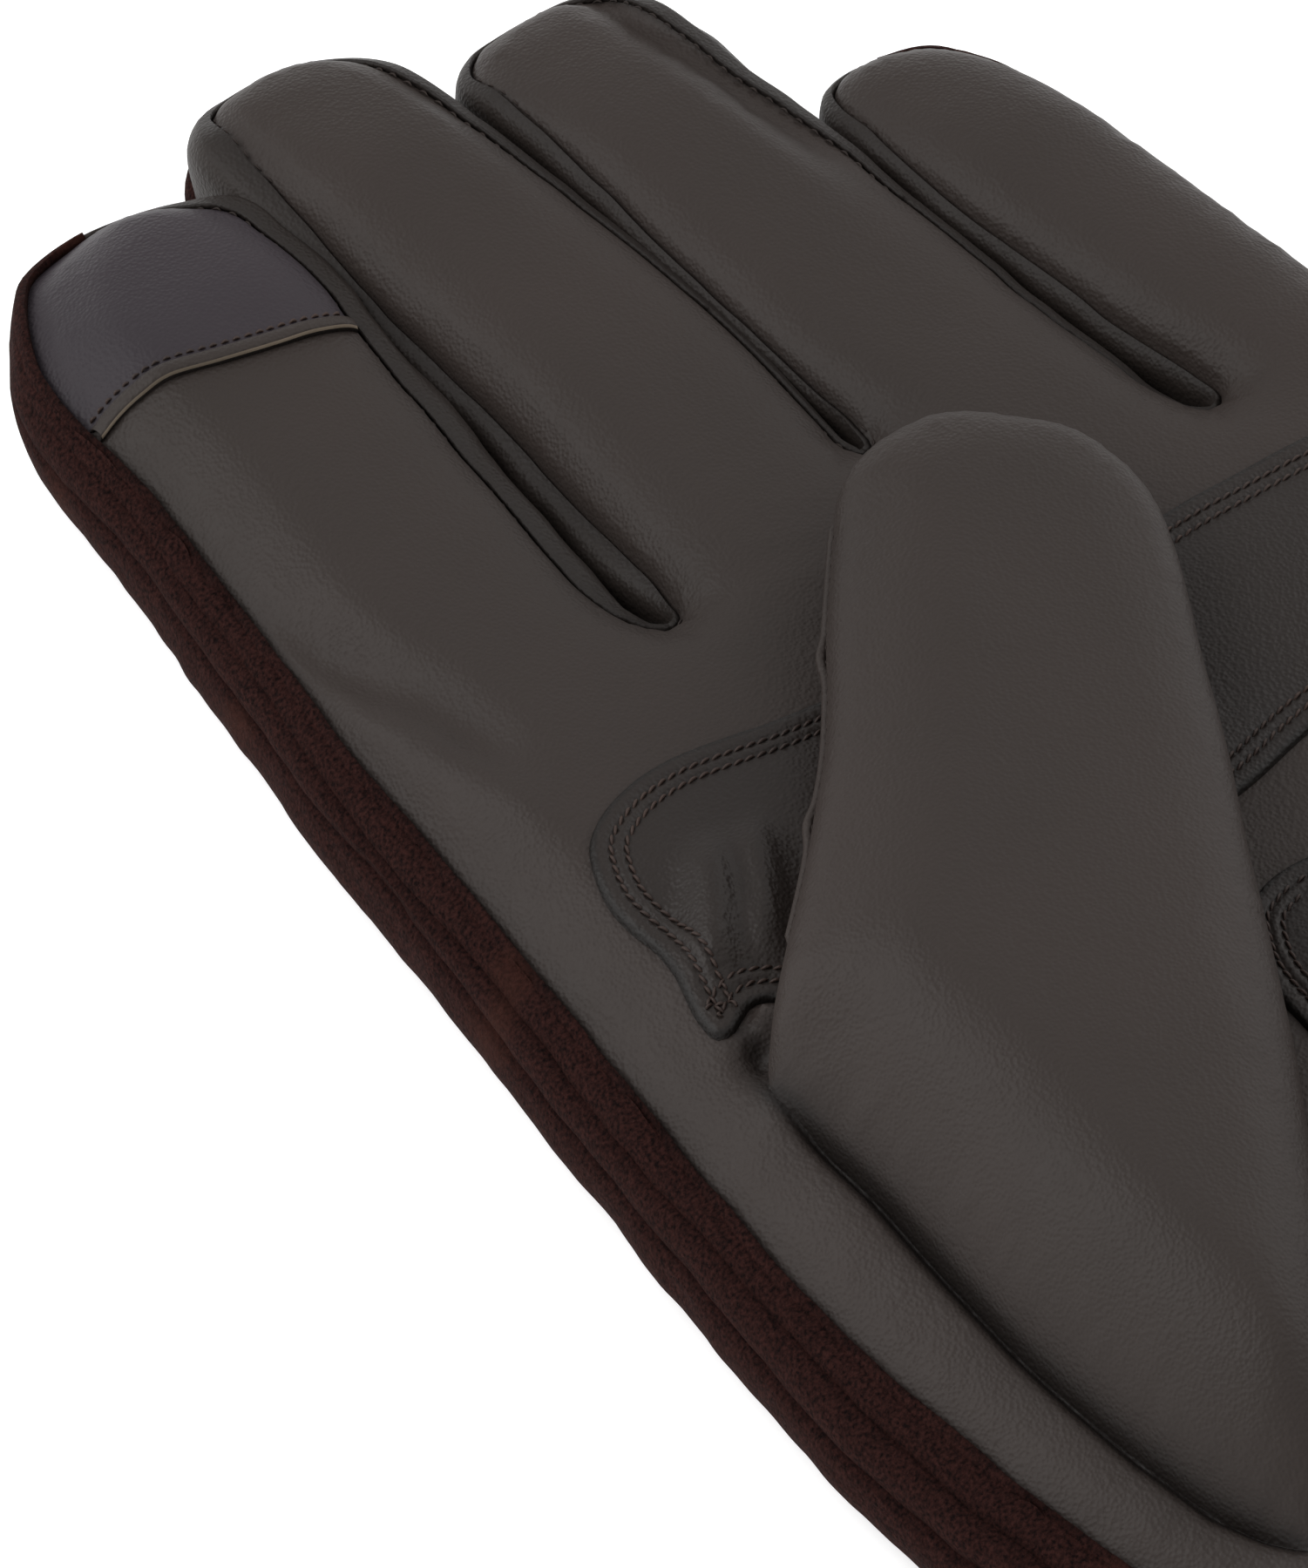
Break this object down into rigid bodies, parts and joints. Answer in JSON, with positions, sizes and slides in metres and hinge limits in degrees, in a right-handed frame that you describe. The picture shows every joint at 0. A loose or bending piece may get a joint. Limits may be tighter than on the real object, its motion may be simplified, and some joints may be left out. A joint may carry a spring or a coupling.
{
  "type": "touchscreen glove",
  "caption": "Left-hand leather dress glove lying palm up with the thumb folded over, suede back, conductive index tip and stitched grip patches on the palm.",
  "frame": {"origin": "centre of the glove's plan box, on the surface its suede back lies on", "axes": "+Y towards the fingertips, +Z out of the palm, -X the index-finger side"},
  "size_m": [0.1282, 0.2514, 0.031],
  "materials": {
    "leather": "smooth dark taupe nappa leather",
    "touch_leather": "smooth cooler grey leather of the touch tip",
    "patch_leather": "smooth dark leather of the grip patches",
    "suede": "dark brown suede",
    "lining": "brushed dark knitted lining",
    "thread": "dark brown sewing thread",
    "hem": "turned leather hem",
    "elastic": "woven elastic"
  },
  "bodies": {
    "hand": {"palm_leather": "leather", "back_suede": "suede", "palm_lining": "lining", "back_lining": "lining", "ring_little_fourchette_root": "leather", "middle_ring_fourchette_root": "leather", "index_middle_fourchette_root": "leather", "cuff_hem": "hem", "wrist_elastic": "elastic", "palm_patch": "patch_leather", "palm_patch_stitching": "thread", "heel_patch": "patch_leather", "heel_patch_stitching": "thread"},
    "index_base": {"index_base_leather": "leather", "index_base_suede": "suede", "index_base_fourchette": "leather", "index_base_lining": "lining"},
    "index_end": {"index_end_leather": "leather", "index_tip_seam_roll": "leather", "index_touch_tip": "touch_leather", "index_end_suede": "suede", "index_end_fourchette": "leather", "index_end_lining": "lining"},
    "middle_base": {"middle_base_leather": "leather", "middle_base_suede": "suede", "middle_base_fourchette": "leather", "middle_base_lining": "lining"},
    "middle_end": {"middle_end_leather": "leather", "middle_end_suede": "suede", "middle_end_fourchette": "leather", "middle_end_lining": "lining"},
    "ring_base": {"ring_base_leather": "leather", "ring_base_suede": "suede", "ring_base_fourchette": "leather", "ring_base_lining": "lining"},
    "ring_end": {"ring_end_leather": "leather", "ring_end_suede": "suede", "ring_end_fourchette": "leather", "ring_end_lining": "lining"},
    "little_base": {"little_base_leather": "leather", "little_base_suede": "suede", "little_base_fourchette": "leather", "little_base_lining": "lining"},
    "little_end": {"little_end_leather": "leather", "little_end_suede": "suede", "little_end_fourchette": "leather", "little_end_lining": "lining"},
    "thumb": {"thumb_front_leather": "leather", "thumb_back_leather": "leather", "thumb_lining": "lining", "thumb_seam_stitching": "thread"}
  },
  "joints": [
    {"name": "index_base_bend", "type": "hinge", "parent": "hand", "child": "index_base", "pos_m": [-0.031, 0.054, 0.012], "axis": [0.9833, -0.1822, 0], "range_deg": [0, 50]},
    {"name": "index_middle_bend", "type": "hinge", "parent": "index_base", "child": "index_end", "pos_m": [-0.02517, 0.08546, 0.012], "axis": [0.9833, -0.1822, 0], "range_deg": [0, 70]},
    {"name": "middle_base_bend", "type": "hinge", "parent": "hand", "child": "middle_base", "pos_m": [0.0026, 0.054, 0.012], "axis": [0.9986, -0.0523, 0], "range_deg": [0, 50]},
    {"name": "middle_middle_bend", "type": "hinge", "parent": "middle_base", "child": "middle_end", "pos_m": [0.00433, 0.08696, 0.012], "axis": [0.9986, -0.0523, 0], "range_deg": [0, 70]},
    {"name": "ring_base_bend", "type": "hinge", "parent": "hand", "child": "ring_base", "pos_m": [0.029, 0.055, 0.012], "axis": [0.9994, -0.0349, 0], "range_deg": [0, 50]},
    {"name": "ring_middle_bend", "type": "hinge", "parent": "ring_base", "child": "ring_end", "pos_m": [0.02994, 0.08198, 0.012], "axis": [0.9994, -0.0349, 0], "range_deg": [0, 70]},
    {"name": "little_base_bend", "type": "hinge", "parent": "hand", "child": "little_base", "pos_m": [0.0528, 0.038, 0.012], "axis": [0.9998, 0.0175, 0], "range_deg": [0, 50]},
    {"name": "little_middle_bend", "type": "hinge", "parent": "little_base", "child": "little_end", "pos_m": [0.0524, 0.061, 0.012], "axis": [0.9998, 0.0175, 0], "range_deg": [0, 70]},
    {"name": "thumb_lift", "type": "hinge", "parent": "hand", "child": "thumb", "pos_m": [-0.048, -0.04, 0.018], "axis": [0, -1, 0], "range_deg": [0, 85]}
  ]
}
